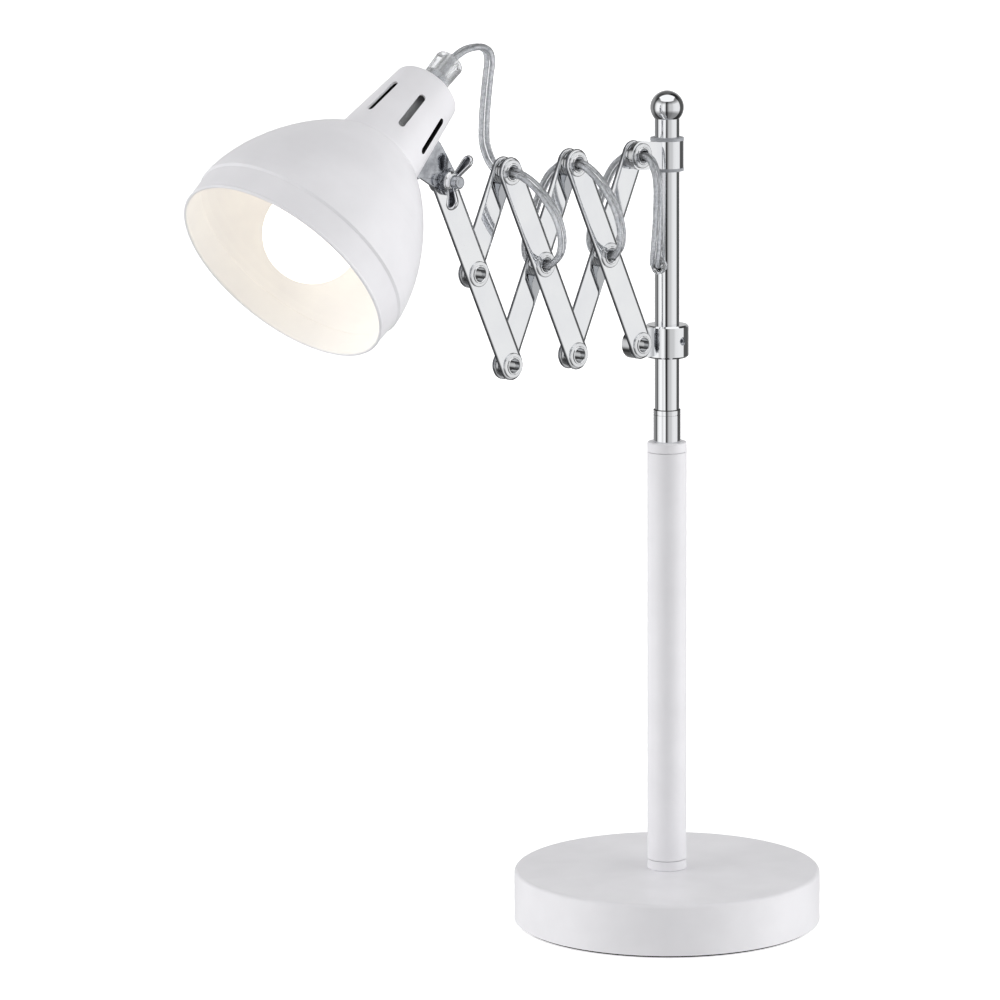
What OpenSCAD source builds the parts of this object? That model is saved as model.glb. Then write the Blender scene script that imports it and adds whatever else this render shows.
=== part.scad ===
// Accordion desk lamp: a weighted round base, a post in which a chrome rod
// swivels, a scissor arm on two collars, and a bell shade on a wing-nut pivot.
// The origin is the centre of the underside. +Z is up, the arm reaches along
// -X and the wing nut faces -Y. All sizes are in millimetres.

/* [Base] */
// Diameter of the round base
base_d = 150; // [120:1:200]
// Height of the base with its pad
base_h = 26.1; // [25:0.1:32]
// Radius of the rounded top edge
base_edge_r = 2; // [1:0.25:4]
// Thickness of the cast weight inside the base
weight_h = 12; // [8:0.5:12]

/* [Post] */
// Diameter of the painted tube
post_d = 19.2; // [18.4:0.1:26]
// Distance from the top of the lamp down to the top of the painted tube's cap
post_drop = 170.5; // [159:0.1:188]
// Height of the foot ring and of the cap
ring_h = 4.9; // [3:0.1:8]
// Length of the chrome sleeve that shows above the cap
sleeve_h = 15.9; // [8:0.1:20]
// Diameter of the chrome rod
rod_d = 12; // [11:0.1:12]
// Diameter of the ball on top of the rod
ball_d = 16.2; // [14:0.1:20]
// Height of the whole lamp
lamp_h = 408.8; // [404:0.2:440]

/* [Collars] */
// Diameter of the lower, fixed collar
low_collar_d = 21; // [19:0.5:26]
// Height of the lower collar
low_collar_h = 15.8; // [12:0.2:18]
// Diameter of the upper, sliding collar
top_collar_d = 16; // [15.8:0.1:18]
// Height of the upper collar without its bushes
top_collar_h = 13.1; // [12:0.1:14]
// Height of the cord's hole in the rod above the lower pivots
cord_hole_up = 36.5; // [34:0.1:39]

/* [Scissor arm] */
// Distance of the lower row of pivots below the top of the lamp
arm_drop = 120.5; // [119:0.1:124]
// Distance of the first pivots from the rod's axis
pivot_x = 21; // [20:0.5:26]
// Length of a bar from pivot to pivot
bar_l = 101.2; // [98:0.1:104]
// Angle of each bar from upright
bar_angle = 25.8; // [22:0.1:30]
// Width of a bar
bar_w = 14; // [13:0.25:15]
// Thickness of a bar
bar_t = 2; // [1.5:0.1:2]
// Gap between the front and the back bars
layer_gap = 3; // [3:0.1:4]
// Bore of the eyelets
eyelet_bore = 6.8; // [6.4:0.1:7]
// Diameter of the eyelets' flanges
eyelet_flange = 12; // [11.4:0.1:12.4]

/* [Head] */
// Angle of the shade's axis below level
shade_tilt = 39; // [20:1:60]
// Distance from the wing-nut pivot to the shade's axis
neck_off = 35.9; // [34:0.1:40]
// Diameter of the shade's mouth
rim_d = 107.2; // [100:0.2:112]
// Diameter at the bead line
bead_d = 109.6; // [104:0.2:114]
// Distance of the mouth from the pivot along the axis
rim_s = 96.6; // [92:0.1:100]
// Distance of the bead line from the pivot along the axis
bead_s = 82.5; // [78:0.1:85]
// Diameter of the neck at its closed end
neck_d = 33; // [32:0.1:36]
// Diameter of the neck where the bell begins
neck_low_d = 43.6; // [42:0.2:46]
// Thickness of the shade's sheet
sheet_t = 1.1; // [0.8:0.05:1.3]
// Diameter of the bulb
bulb_d = 45; // [40:0.5:46]

/* [Cord] */
// Width of the flat twin cord
cord_w = 5.2; // [4:0.1:5.4]
// Thickness of the flat twin cord
cord_t = 3.4; // [2.6:0.1:3.6]

/* [Hidden] */
$fn = 64;

// Clearances: between a pin and its bore, between faces that slide, and
// between pieces that are pressed or clamped together
pin_gap = 0.05;
face_gap = 0.15;
fit_gap = 0.02;
// How far a cut runs past the face that it opens
over = 1;

// Base: a pressed cover over a cast weight, closed by a plate and a pad
pad_h = 1.5;
pad_r = base_d / 2 - 1.6;
plate_h = 1.2;
cover_z0 = 1;
cover_t = 1.2;
cover_in_r = base_d / 2 - cover_t;
cover_in_z = base_h - cover_t;
cover_in_edge_r = base_edge_r - 0.9;
plate_r = cover_in_r - 0.1;
weight_r = cover_in_r - 1;
weight_edge = base_edge_r + 0.5;
recess_r = 18;
recess_h = 5;
stud_r = 5;
stud_bore_r = 3.5;
stud_hole_r = stud_r + pin_gap;
washer_r = 11;
washer_h = 1.2;
nut_flats = 17;
nut_h = 4.5;
clamp_z = cover_in_z - weight_h + recess_h;
nut_z = clamp_z - washer_h - nut_h;
stud_z0 = nut_z - 0.6;
gland_z = 8;
gland_r = 4.4;
gland_flange_r = 5;
gland_flange_t = 1.6;
gland_bore_r = 3.2;
gland_x0 = base_d / 2 - 5.5;
gland_x1 = base_d / 2 + 2.5;
// Room that the weight's notch leaves round the gland
gland_room = 0.5;

// Post, and the rod that turns in its sleeve
post_r = post_d / 2;
tube_z0 = base_h + ring_h;
post_top = lamp_h - post_drop;
tube_z1 = post_top - ring_h;
tube_in_r = post_r - 1.3;
plug_r = tube_in_r - fit_gap;
plug_h = 16;
spigot_h = 12;
rod_r = rod_d / 2;
rod_in_r = rod_r - 1;
run_r = rod_r + pin_gap;
sleeve_r = rod_r + 0.6;
sleeve_rim_h = 2.2;
sleeve_groove_t = 0.25;
sleeve_groove_h = 0.5;
sleeve_z0 = tube_z1 - spigot_h;
sleeve_top = post_top + sleeve_h;
seat_depth = 50;
seat_h = 16;
seat_floor = 6;
seat_hole_r = 4;
seat_z0 = post_top - seat_depth;
rod_z0 = seat_z0 + seat_floor;
ball_r = ball_d / 2;
ball_z = lamp_h - ball_r;
ball_neck_z = ball_z - sqrt(ball_r * ball_r - rod_r * rod_r) - 0.9;
ball_neck_h = 1.5;
ball_spigot_h = 11;
grub_r = 1.95;
grub_l = 3.6;
grub_key_r = 1.15;
cord_hole_r = 3.3;
grommet_r = 4.3;
grommet_bore_r = 2.85;
grommet_t = 0.8;

// Arm: the rows of pivots, the two layers of bars and their hollow rivets
arm_z = lamp_h - arm_drop;
step_x = bar_l * sin(bar_angle);
arm_h = bar_l * cos(bar_angle);
top_z = arm_z + arm_h;
mid_z = arm_z + arm_h / 2;
cord_hole_z = arm_z + cord_hole_up;
layer_in = layer_gap / 2;
layer_out = layer_in + bar_t;
eyelet_in_r = eyelet_bore / 2;
eyelet_r = eyelet_in_r + 0.6;
eyelet_hole_r = eyelet_r + pin_gap;
flange_r = eyelet_flange / 2;
flange_t = 0.8;
mouth_lip = 0.9;
mouth_h = 0.35;
mouth_edge = 0.3;
spacer_r = 6.2;
spacer_groove = 0.5;
bush_r = rod_r + 0.9;
bush_l = 6;
bush_flange_r = top_collar_d / 2 + 0.1;
bush_flange_t = 1.5;
// How far the middle of each collar lies below its pivot
low_collar_sag = 0.6;
top_collar_sag = 1.2;

function top_pivot(i) = [-pivot_x - i * step_x, top_z];
function low_pivot(i) = [-pivot_x - i * step_x, arm_z];
function mid_pivot(i) = [-pivot_x - (i - 0.5) * step_x, mid_z];
head_pivot = top_pivot(3);
inner_pivots = [low_pivot(0), mid_pivot(1), top_pivot(1)];
middle_pivots = [low_pivot(1), mid_pivot(2), top_pivot(2)];
outer_pivots = [low_pivot(2), mid_pivot(3)];

// Head pivot, stacked on the bolt as distances out to the front
bolt_r = 3;
bolt_tip = 0.5;
bolt_out = 14;
bolt_head_r = 5.6;
bolt_head_h = layer_gap + 0.2;
bolt_hole_r = bolt_r + pin_gap;
ear_t = 1.8;
ear_in = layer_out + face_gap;
star_in = ear_in + ear_t;
star_t = 0.9;
star_r = 6.4;
star_root_r = 5.2;
star_teeth = 10;
spring_in = star_in + star_t;
spring_t = 1.2;
spring_r = 5.1;
spring_cut = 0.8;
washer_bore_r = bolt_r + 0.1;
wing_in = spring_in + spring_t + pin_gap;
wing_foot_r = 5;
wing_foot_h = 1.2;
wing_hub_r = 4;
wing_hub_h = 4.6;
wing_t = 2;
wing_angle = 62;

// Shade, measured along its axis from the foot of the pivot's normal. The
// axis lies a little behind the arm's plane
head_y = 2;
neck_s0 = -23.5;
neck_s1 = 21;
neck_corner_r = 3.7;
neck_slope = (neck_low_d - neck_d) / 2 / (neck_s1 - neck_s0 - neck_corner_r);
neck_angle = atan(neck_slope);
hem_r = 0.8;
bead_step = 0.7;
bead_l = 1.2;
slot_l = 21.2;
slot_w = 3.4;
slot_s = 1;
slot_angles = [-5, -55, 45, -105, 95];
foot_t = 1.9;
foot_s0 = -8;
foot_s1 = 13;
foot_in = 10;
ear_end_r = 6.5;
rivet_s = [-3, 8];
rivet_y = 1.5;
rivet_r = 1.6;
rivet_head_r = 2.9;
rivet_foot_r = 2.4;
rivet_foot_gap = 0.6;

// Lampholder and bulb, along the same axis
nipple_r = 5;
nipple_in_r = 4;
nipple_hole_r = nipple_r + pin_gap;
nipple_s0 = -31;
nipple_s1 = -17.5;
grip_s0 = -42;
grip_r = 6.3;
grip_top_r = 7;
grip_end_r = 1.7;
grip_bore_r = 2.75;
holder_r = 12.5;
holder_in_r = 10.5;
skirt_r = 13.6;
skirt_s0 = 6;
skirt_s1 = 37;
skirt_plug_h = 6;
skirt_lip = 4;
skirt_mouth_r = 9;
shell_r = 7.6;
shell_t = 0.5;
seat_s = 15;
contact_r = 3.2;
contact_t = 1;
bulb_r = bulb_d / 2;
bulb_s = 72;
bulb_t = 0.8;
bulb_neck_s = 45.5;
bulb_neck_angle = 33;
cap_r = 6.9;
cap_s1 = 40;

// Cord: route points were chosen by hand, as round numbers.
// Loop of a front bar: distance along the bar from its top eyelet, and out
// to the front. It goes on into the bar's middle eyelet
loop_route = [[0, 0], [0, 6], [3.2, 11], [8.2, 14.6], [14, 16.8],
    [20.5, 18.4], [27, 18.6], [33.5, 17.6], [39.5, 15.6], [44.8, 12.6],
    [49, 8.4]];
// Stretch behind a back bar, from its middle eyelet to its top one
back_route = [[0, 0], [0, 5.5], [2.5, 10], [8, 13], [17, 14.5], [27, 14.5],
    [37, 14], [44, 12], [48.5, 8]];
// From the cord grip to the back of the outer top eyelet, from that pivot
head_route = [[-28.2, 2, 57.4], [-24.5, 2.3, 58.6], [-19.5, 2.6, 59.3],
    [-14, 3, 59.2], [-10, 3.7, 57.9], [-7, 4.5, 55.6], [-5, 5.8, 51],
    [-4.1, 8, 43.5], [-3, 11, 30], [-1.8, 13, 18.5], [-0.9, 13.4, 12],
    [-0.3, 10.8, 5]];
// From the front of the first top eyelet to the hole in the rod, from that
// pivot
post_route = [[0, -6, 0], [0, -10, -2.4], [0.1, -12.7, -8.4],
    [0.6, -13.2, -15.9], [1.6, -12, -25.4], [3.4, -10, -35.4], [6, -7, -44.4],
    [9, -3.6, -50.4], [12, -0.6, -54], [14, 0, -54.6]];
// Inside the rod, from its axis at the cord's hole
rod_route = [[-2, 0, 0], [-0.9, 0, -0.4], [-0.2, 0, -1.8], [0, 0, -4.3],
    [0, 0, -70]];
// Inside the base, to the gland
base_route = [[0, 0, 100], [0, 0, 12], [1.4, 0, 8], [4.5, 0, 5.2],
    [9, 0, 4.4], [30, 0, 4.4], [58, 0, 4.8], [64, 0, 6.4]];
loop_bulge = 1.35;
eyelet_run = 5.5;
rod_entry = 3;
cord_gap = 0.4;
flex_joint_z = 190;

// Colours
WHITE = [0.93, 0.93, 0.93];
CHROME = [0.78, 0.79, 0.81];
STEEL = [0.6, 0.61, 0.63];
IRON = [0.25, 0.25, 0.27];
BLACK = [0.08, 0.08, 0.08];
GREY = [0.5, 0.51, 0.53];
BRASS = [0.8, 0.66, 0.36];
CLEAR = [0.82, 0.84, 0.86];
OPAL = [1, 0.98, 0.94];

// ---- Shared shapes ----

function arc(c, r, a0, a1, n) =
    [for (i = [0:n])
        let (a = a0 + (a1 - a0) * i / n)
        [c[0] + r * cos(a), c[1] + r * sin(a)]];

function reversed(p) = [for (i = [len(p) - 1:-1:0]) p[i]];

module ring(r_out, r_in, h) {
    difference() {
        cylinder(r = r_out, h = h);
        translate([0, 0, -1]) cylinder(r = r_in, h = h + 2);
    }
}

// Children are drawn in the arm's plane, with their own +Z to the front
module along_y(p) {
    translate([p[0], 0, p[1]]) rotate([90, 0, 0]) children();
}

// Children are drawn about the shade's axis, with +Z out of its mouth
module on_head() {
    translate([head_pivot[0], head_y, head_pivot[1]])
        rotate([0, -90 - shade_tilt, 0])
            translate([neck_off, 0, 0]) children();
}

module hex_nut(flats, bore_r, h) {
    difference() {
        cylinder(r = flats / sqrt(3), h = h, $fn = 6);
        translate([0, 0, -1]) cylinder(r = bore_r, h = h + 2);
    }
}

// ---- Base ----

function cover_outline(r, z1, edge) =
    concat([[0, z1]], reversed(arc([r - edge, z1 - edge], edge, 0, 90, 8)));

module base_cover() {
    color(WHITE)
    difference() {
        rotate_extrude($fn = 128) difference() {
            polygon(concat(cover_outline(base_d / 2, base_h, base_edge_r),
                [[base_d / 2, cover_z0], [0, cover_z0]]));
            polygon(concat(
                cover_outline(cover_in_r, cover_in_z, cover_in_edge_r),
                [[cover_in_r, -over], [0, -over]]));
        }
        cylinder(r = stud_hole_r, h = base_h + over);
        translate([base_d / 2 - 4, 0, gland_z])
            rotate([0, 90, 0]) cylinder(r = gland_r + 0.1, h = 8);
    }
}

// The chamfer clears the rounded inner edge of the cover, and a notch the
// cord's gland
module base_weight() {
    color(IRON)
    translate([0, 0, cover_in_z - weight_h]) difference() {
        rotate_extrude($fn = 128)
            polygon([[stud_hole_r, 0], [weight_r, 0],
                [weight_r, weight_h - weight_edge],
                [weight_r - weight_edge, weight_h], [stud_hole_r, weight_h]]);
        translate([0, 0, -over]) cylinder(r = recess_r, h = recess_h + over);
        translate([gland_x0 - gland_room, 0, gland_z - cover_in_z + weight_h])
            rotate([0, 90, 0]) cylinder(r = gland_flange_r + gland_room, h = base_d);
    }
}

module base_plate() {
    color(STEEL) translate([0, 0, pad_h])
        cylinder(r = plate_r, h = plate_h, $fn = 128);
}

module base_pad() {
    color(BLACK) cylinder(r = pad_r, h = pad_h, $fn = 128);
}

module base_washer() {
    color(STEEL) translate([0, 0, clamp_z - washer_h])
        ring(washer_r, stud_r + 0.2, washer_h);
}

module base_nut() {
    color(STEEL) translate([0, 0, nut_z]) hex_nut(nut_flats, stud_hole_r, nut_h);
}

module base_stud() {
    color(STEEL) translate([0, 0, stud_z0])
        ring(stud_r, stud_bore_r, tube_z0 + plug_h - 1 - stud_z0);
}

module cable_gland() {
    bevel = 0.8;
    color(WHITE) translate([0, 0, gland_z]) rotate([0, 90, 0])
        rotate_extrude() polygon([[gland_bore_r, gland_x0],
            [gland_flange_r, gland_x0],
            [gland_flange_r, gland_x0 + gland_flange_t],
            [gland_r, gland_x0 + gland_flange_t], [gland_r, base_d / 2],
            [gland_flange_r, base_d / 2], [gland_flange_r, gland_x1 - bevel],
            [gland_flange_r - bevel, gland_x1], [gland_bore_r, gland_x1]]);
}

// ---- Post ----

module foot_ring() {
    edge = 0.25;
    color(WHITE) translate([0, 0, base_h]) rotate_extrude($fn = 96)
        polygon([[stud_hole_r, 0], [post_r, 0], [post_r, ring_h - edge],
            [post_r - edge, ring_h], [stud_hole_r, ring_h]]);
}

module tube_plug() {
    color(STEEL) translate([0, 0, tube_z0]) ring(plug_r, stud_hole_r, plug_h);
}

module post_tube() {
    color(WHITE) translate([0, 0, tube_z0])
        ring(post_r, tube_in_r, tube_z1 - tube_z0, $fn = 96);
}

module post_cap() {
    r_in = sleeve_r + fit_gap;
    seam = 0.25;
    edge = 0.5;
    color(WHITE) translate([0, 0, tube_z1]) rotate_extrude($fn = 96)
        polygon([[r_in, -spigot_h], [plug_r, -spigot_h], [plug_r, 0],
            [post_r - seam, 0], [post_r, seam], [post_r, ring_h - edge],
            [post_r - edge, ring_h], [r_in, ring_h]]);
}

module swivel_sleeve() {
    edge = 0.3;
    groove_r = sleeve_r - sleeve_groove_t;
    groove_z = sleeve_top - sleeve_rim_h;
    color(CHROME) rotate_extrude($fn = 96)
        polygon([[run_r, sleeve_z0], [sleeve_r, sleeve_z0],
            [sleeve_r, groove_z - sleeve_groove_h],
            [groove_r, groove_z - sleeve_groove_h], [groove_r, groove_z],
            [sleeve_r, groove_z], [sleeve_r, sleeve_top - edge],
            [sleeve_r - edge, sleeve_top], [run_r, sleeve_top]]);
}

// Cup on which the rod's lower end turns
module rod_seat() {
    color(GREY) translate([0, 0, seat_z0]) difference() {
        cylinder(r = plug_r, h = seat_h);
        translate([0, 0, -over]) cylinder(r = seat_hole_r, h = seat_h);
        translate([0, 0, seat_floor - 0.1]) cylinder(r = run_r, h = seat_h);
    }
}

// ---- Rod and collars ----

module rod() {
    color(CHROME) difference() {
        translate([0, 0, rod_z0])
            ring(rod_r, rod_in_r, ball_neck_z - rod_z0, $fn = 96);
        in_cord_hole() cylinder(r = cord_hole_r, h = rod_d);
    }
}

// Children are drawn about the axis of the cord's hole, with +Z to the arm
module in_cord_hole() {
    translate([0, 0, cord_hole_z]) rotate([0, -90, 0]) children();
}

module finial_ball() {
    color(CHROME) union() {
        translate([0, 0, ball_z]) sphere(r = ball_r, $fn = 96);
        translate([0, 0, ball_neck_z]) cylinder(r = rod_r, h = ball_neck_h);
        translate([0, 0, ball_neck_z - ball_spigot_h])
            cylinder(r = rod_in_r - 0.03, h = ball_spigot_h + 1);
    }
}

// Solid collar with a thick ear in the back layer, held by a grub screw
module lower_collar() {
    r = low_collar_d / 2;
    h = low_collar_h;
    edge = 0.8;
    color(CHROME) difference() {
        union() {
            translate([0, 0, arm_z - low_collar_sag - h / 2])
                rotate_extrude($fn = 96)
                polygon([[0, 0], [r - edge, 0], [r, edge], [r, h - edge],
                    [r - edge, h], [0, h]]);
            along_y([0, arm_z]) translate([0, 0, -layer_out])
                linear_extrude(layer_out + layer_in - face_gap) {
                    translate([-pivot_x, -bar_w / 2]) square([pivot_x, bar_w]);
                    translate([-pivot_x, 0]) circle(bar_w / 2);
                }
        }
        translate([0, 0, arm_z - h]) cylinder(r = rod_r + 0.01, h = 2 * h);
        along_y(low_pivot(0)) translate([0, 0, -layer_out - over])
            cylinder(r = eyelet_hole_r, h = 2 * layer_out);
        along_y([0, arm_z]) cylinder(r = grub_r + pin_gap, h = r + over);
    }
}

module grub_screw() {
    color(BLACK) along_y([0, arm_z]) translate([0, 0, rod_r + 0.01])
    difference() {
        cylinder(r = grub_r, h = grub_l);
        translate([0, 0, grub_l / 2]) cylinder(r = grub_key_r, h = grub_l, $fn = 6);
    }
}

// Soft liner of the cord's hole. Its flange follows the rod
module cord_grommet() {
    color(CLEAR) difference() {
        union() {
            in_cord_hole() translate([0, 0, rod_in_r - 0.6])
                cylinder(r = cord_hole_r - fit_gap, h = 1.6 + grommet_t / 2);
            difference() {
                in_cord_hole() cylinder(r = grommet_r, h = rod_r + grommet_t);
                cylinder(r = rod_r + fit_gap, h = 2 * cord_hole_z);
            }
        }
        in_cord_hole() translate([0, 0, -over])
            cylinder(r = grommet_bore_r, h = rod_d);
    }
}

// Ring with a flat ear in the front layer, whose top meets the ring's beside
// the bush
module upper_collar() {
    h = top_collar_h;
    ear_r = bar_w / 2;
    ring_top = h / 2 - top_collar_sag;
    color(CHROME) difference() {
        union() {
            translate([0, 0, top_z - top_collar_sag - h / 2])
                cylinder(r = top_collar_d / 2, h = h, $fn = 96);
            along_y([0, top_z]) translate([0, 0, layer_in])
                linear_extrude(bar_t) {
                    translate([-pivot_x, 0]) circle(ear_r);
                    polygon([[-pivot_x, -ear_r], [0, ring_top - h],
                        [0, ring_top], [-bush_flange_r - face_gap, ring_top],
                        [-pivot_x, ear_r]]);
                }
        }
        translate([0, 0, top_z - 2 * h]) cylinder(r = bush_r + fit_gap, h = 4 * h);
        along_y(top_pivot(0)) cylinder(r = eyelet_hole_r, h = 2 * layer_out);
    }
}

module collar_bush() {
    rotate_extrude($fn = 96)
        polygon([[run_r, -bush_flange_t], [bush_flange_r, -bush_flange_t],
            [bush_flange_r, 0], [bush_r, 0], [bush_r, bush_l], [run_r, bush_l]]);
}

module collar_bushes() {
    color(GREY) for (m = [0, 1])
        translate([0, 0, top_z - top_collar_sag]) mirror([0, 0, m])
            translate([0, 0, -top_collar_h / 2]) collar_bush();
}

// ---- Scissor arm ----

// Bar from pivot a to pivot b, with a hole of each radius in turn at its
// start, its middle and its end. Its layer is 1 for front and -1 for back
module bar(a, b, layer, hole_radii) {
    run = b - a;
    l = norm(run);
    last = len(hole_radii) - 1;
    color(CHROME) along_y(a)
        translate([0, 0, layer > 0 ? layer_in : -layer_out])
            rotate(atan2(run[1], run[0])) linear_extrude(bar_t) difference() {
                union() {
                    translate([0, -bar_w / 2]) square([l, bar_w]);
                    circle(bar_w / 2);
                    translate([l, 0]) circle(bar_w / 2);
                }
                for (i = [0:last])
                    translate([l * i / last, 0]) circle(hole_radii[i]);
            }
}

// Half of a hollow rivet's section, from the middle out to its end at z: a
// tube with a rolled lip on a washer
module eyelet_half(z) {
    rim = flange_t / 2;
    mouth_r = eyelet_in_r + mouth_lip;
    difference() {
        union() {
            translate([eyelet_in_r, 0]) square([eyelet_r - eyelet_in_r, z]);
            translate([eyelet_in_r, z - flange_t])
                square([flange_r - eyelet_in_r - rim, flange_t]);
            translate([flange_r - rim, z - rim]) circle(rim, $fn = 24);
            translate([eyelet_in_r, z - rim])
                square([mouth_lip, rim + mouth_h]);
        }
        for (x = [eyelet_in_r, mouth_r]) translate([x, z + mouth_h])
            rotate(45) square(mouth_edge, center = true);
    }
}

// Its back washer stands off the bar that turns on it
module eyelet() {
    rotate_extrude() {
        eyelet_half(layer_out + flange_t);
        mirror([0, 1]) eyelet_half(layer_out + face_gap + flange_t);
    }
}

// Grooved distance ring between the two layers
module spacer() {
    z0 = -layer_in + face_gap;
    h = 2 * layer_in - face_gap;
    groove_r = spacer_r - spacer_groove;
    translate([0, 0, z0]) rotate_extrude()
        polygon([[eyelet_hole_r, 0], [spacer_r, 0], [spacer_r, h * 0.4],
            [groove_r, h * 0.45], [groove_r, h * 0.55], [spacer_r, h * 0.6],
            [spacer_r, h], [eyelet_hole_r, h]]);
}

module eyelets(pivots) {
    color(STEEL) for (p = pivots) along_y(p) eyelet();
}

module spacers(pivots) {
    color(STEEL) for (p = pivots) along_y(p) spacer();
}

module full_bar(a, b, layer) {
    bar(a, b, layer, [eyelet_hole_r, eyelet_hole_r, eyelet_hole_r]);
}

module bar_front_inner() { full_bar(low_pivot(0), top_pivot(1), 1); }
module bar_front_middle() { full_bar(low_pivot(1), top_pivot(2), 1); }
module bar_back_inner() { full_bar(top_pivot(0), low_pivot(1), -1); }
module bar_back_middle() { full_bar(top_pivot(1), low_pivot(2), -1); }

module bar_back_outer() {
    bar(top_pivot(2), mid_pivot(3), -1, [eyelet_hole_r, eyelet_hole_r]);
}

module bar_front_outer() {
    bar(low_pivot(2), head_pivot, 1,
        [eyelet_hole_r, eyelet_hole_r, bolt_r + 0.01]);
}

module eyelets_inner() { eyelets(inner_pivots); }
module eyelets_middle() { eyelets(middle_pivots); }
module eyelets_outer() { eyelets(outer_pivots); }
module spacers_middle() { spacers(middle_pivots); }
module spacers_outer() { spacers(outer_pivots); }

// The lower collar's ear fills the gap at the first pivot
module spacers_inner() { spacers([mid_pivot(1), top_pivot(1)]); }

// The bar behind carries the first eyelet, so its flanges are mirrored
module eyelet_collar() {
    color(STEEL) along_y(top_pivot(0)) mirror([0, 0, 1]) eyelet();
}

module spacer_collar() {
    color(STEEL) along_y(top_pivot(0)) mirror([0, 0, 1]) spacer();
}

// ---- Pivot of the head ----

module pivot_bolt() {
    color(STEEL) along_y(head_pivot) union() {
        cylinder(r = bolt_r, h = bolt_out - bolt_tip);
        translate([0, 0, bolt_out - bolt_tip])
            cylinder(r1 = bolt_r, r2 = bolt_r - bolt_tip, h = bolt_tip);
        translate([0, 0, layer_in - bolt_head_h])
            cylinder(r = bolt_head_r, h = bolt_head_h);
    }
}

function neck_r_at(s) = neck_d / 2 + neck_slope * (s - neck_s0 - neck_corner_r);

// Angle bracket: a foot under the neck, and an ear that hangs beside the bar
module head_bracket() {
    neck_r = neck_r_at(0);
    reach = 30;
    ear_y = -ear_in - head_y;
    foot_w = foot_in + head_y + star_in;
    color(STEEL) on_head() difference() {
        union() {
            translate([0, ear_y, 0]) rotate([90, 0, 0]) linear_extrude(ear_t) {
                polygon([[4 - neck_r, foot_s0], [4 - neck_r, foot_s1 - 1],
                    [-neck_r - 2, foot_s1 - 1], [-neck_off, ear_end_r],
                    [-neck_off, -ear_end_r], [-neck_r - 3, foot_s0]]);
                translate([-neck_off, 0]) circle(ear_end_r);
            }
            // The foot follows the slope of the neck
            translate([-neck_r, 0, 0]) rotate([0, -neck_angle, 0])
                translate([-foot_t, -star_in - head_y, foot_s0])
                    cube([foot_t + 3, foot_w, foot_s1 - foot_s0]);
        }
        translate([0, 0, -reach])
            cylinder(r1 = neck_r_at(-reach) + 0.01, r2 = neck_r_at(reach) + 0.01,
                h = 2 * reach, $fn = 96);
        translate([-neck_off, 0, 0]) rotate([90, 0, 0])
            cylinder(r = bolt_hole_r, h = 2 * star_in);
        rivet_holes();
    }
}

// Children stand on the underside of the neck, with +Z outwards
module on_neck(s) {
    translate([-neck_r_at(s), rivet_y, s])
        rotate([0, -90 - neck_angle, 0]) children();
}

module rivet_holes() {
    for (s = rivet_s) on_neck(s)
        cylinder(r = rivet_r + fit_gap, h = 8, center = true);
}

module bracket_rivets() {
    head_h = 1.1;
    foot_h = 0.9;
    foot_z = -sheet_t - rivet_foot_gap - foot_h;
    color(STEEL) on_head() for (s = rivet_s) on_neck(s) union() {
        translate([0, 0, foot_z]) cylinder(r = rivet_foot_r, h = foot_h);
        translate([0, 0, foot_z + 0.1])
            cylinder(r = rivet_r, h = foot_t - foot_z + head_h / 2);
        translate([0, 0, foot_t])
            cylinder(r1 = rivet_head_r, r2 = rivet_head_r - 0.9, h = head_h);
    }
}

module star_washer() {
    color(STEEL) along_y(head_pivot) translate([0, 0, star_in])
    difference() {
        linear_extrude(star_t) polygon([for (i = [0:2 * star_teeth - 1])
            let (r = i % 2 == 0 ? star_r : star_root_r, a = 180 * i / star_teeth)
            [r * cos(a), r * sin(a)]]);
        translate([0, 0, -over]) cylinder(r = washer_bore_r, h = star_t + 2 * over);
    }
}

// Split ring
module spring_washer() {
    color(STEEL) along_y(head_pivot) translate([0, 0, spring_in])
    difference() {
        ring(spring_r, washer_bore_r, spring_t);
        translate([0, -spring_cut / 2, -over])
            cube([spring_r + over, spring_cut, spring_t + 2 * over]);
    }
}

// A wing: two circles and the lines that touch both, flat along the bolt
function wing_outline() =
    let (c0 = [3.6, 2.2], r0 = 1.9, c1 = [10.7, 4.6], r1 = 3.2,
        d = norm(c1 - c0), a = atan2(c1[1] - c0[1], c1[0] - c0[0]),
        b = acos((r0 - r1) / d))
    concat(arc(c1, r1, a - b, a + b, 14), arc(c0, r0, a + b, a + 360 - b, 8));

module wing_nut() {
    color(STEEL) along_y(head_pivot) translate([0, 0, wing_in]) difference() {
        union() {
            cylinder(r = wing_foot_r, h = wing_foot_h);
            translate([0, 0, wing_foot_h])
                cylinder(r1 = wing_foot_r - 0.3, r2 = wing_hub_r,
                    h = wing_hub_h - wing_foot_h);
            for (k = [0, 180]) rotate([0, 0, wing_angle + k])
                rotate([90, 0, 0]) linear_extrude(wing_t, center = true)
                    polygon(wing_outline());
        }
        translate([0, 0, -over]) cylinder(r = bolt_hole_r, h = bolt_out);
    }
}

// ---- Shade ----

// Bell from the bead line to the neck, as radius and place along the axis
function bell(r0, s0, r1, s1, n) =
    [for (i = [0:n])
        let (a = 90 * i / n)
        [r1 + (r0 - r1) * pow(max(cos(a), 0), 1.67),
            s0 - (s0 - s1) * pow(sin(a), 1.18)]];

// One side of the sheet, from the mouth to the nipple's hole
function shade_side(t) =
    let (r_neck = neck_d / 2 - t, s_end = neck_s0 + t, c = neck_corner_r - t)
    concat(
        [[rim_d / 2 - t, rim_s - 2 * hem_r],
            [bead_d / 2 - bead_step - t, bead_s + bead_l]],
        bell(bead_d / 2 - t, bead_s, neck_low_d / 2 - t, neck_s1 + t, 16),
        reversed(arc([r_neck - c, s_end + c], c, -90, 0, 6)),
        [[nipple_hole_r, s_end]]);

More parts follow.
